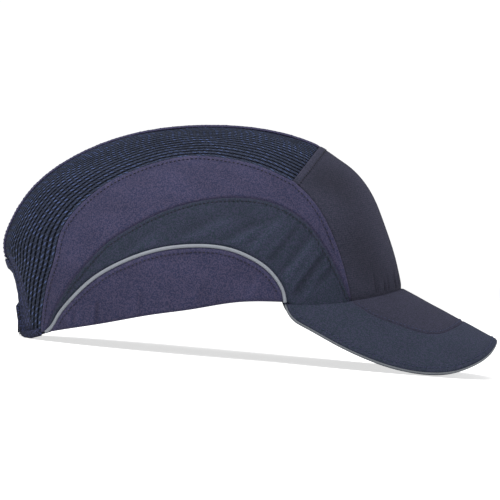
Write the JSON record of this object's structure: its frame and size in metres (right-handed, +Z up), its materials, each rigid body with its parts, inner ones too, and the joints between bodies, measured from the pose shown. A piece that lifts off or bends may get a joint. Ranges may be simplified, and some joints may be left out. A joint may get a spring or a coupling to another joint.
{
  "type": "bump cap",
  "caption": "Peaked cap with mesh top panels over a lift-out hard shell with foam pads, an arched rear opening, a sliding strap and a cam buckle.",
  "frame": {"origin": "on the table, on the cap's plane of symmetry, under the middle of its overall length from rear to peak", "axes": "+X towards the peak, +Y to the wearer's left, +Z up with the cap resting on the table"},
  "size_m": [0.2902, 0.174, 0.132],
  "materials": {
    "navy_mesh": "open knitted mesh, matt",
    "purple_cloth": "woven polyester and cotton, matt",
    "dark_cloth": "woven polyester and cotton, matt",
    "grey_piping": "grey reflective piping",
    "visor_board_plastic": "moulded visor stiffener",
    "webbing": "woven polyester webbing",
    "buckle_plastic": "fine satin moulding",
    "shell_plastic": "moulded, satin",
    "pad_foam": "closed-cell foam, matt",
    "sweatband_cloth": "brushed towelling"
  },
  "bodies": {
    "cap": {"front_panel": "dark_cloth", "centre_strip": "purple_cloth", "opening_binding": "navy_mesh", "mesh_panel_right": "navy_mesh", "mesh_panel_left": "navy_mesh", "upper_side_panel_right": "purple_cloth", "upper_side_panel_left": "purple_cloth", "middle_side_panel_right": "dark_cloth", "middle_side_panel_left": "dark_cloth", "lower_side_panel_right": "purple_cloth", "lower_side_panel_left": "purple_cloth", "side_piping_right": "grey_piping", "side_piping_left": "grey_piping", "hem_tape_right": "webbing", "hem_tape_left": "webbing", "visor_top_cover": "dark_cloth", "visor_insert": "purple_cloth", "visor_board": "visor_board_plastic", "visor_under_cover": "dark_cloth", "visor_piping": "grey_piping", "strap_anchor": "webbing", "strap_keeper": "buckle_plastic", "buckle_frame": "buckle_plastic", "buckle_pin": "buckle_plastic"},
    "strap": {"adjuster_strap": "webbing"},
    "lever": {"buckle_lever": "buckle_plastic"},
    "insert": {"protective_shell": "shell_plastic", "crown_pad": "pad_foam", "front_pad": "pad_foam", "rear_pad": "pad_foam", "side_pad_right": "pad_foam", "side_pad_left": "pad_foam", "sweatband": "sweatband_cloth"}
  },
  "joints": [
    {"name": "strap_slide", "type": "hinge", "parent": "cap", "child": "strap", "pos_m": [-0.05487, 0, 0.01366], "axis": [-0.0894, 0, 0.996], "range_deg": [-14, 14]},
    {"name": "lever_open", "type": "hinge", "parent": "cap", "child": "lever", "pos_m": [-0.13115, 0.00751, 0.00681], "axis": [0.0894, 0, -0.996], "range_deg": [0, 95]},
    {"name": "insert_lift_out", "type": "slide", "parent": "cap", "child": "insert", "axis": [0.3637, 0, -0.9315], "range_m": [0, 0.13]}
  ]
}
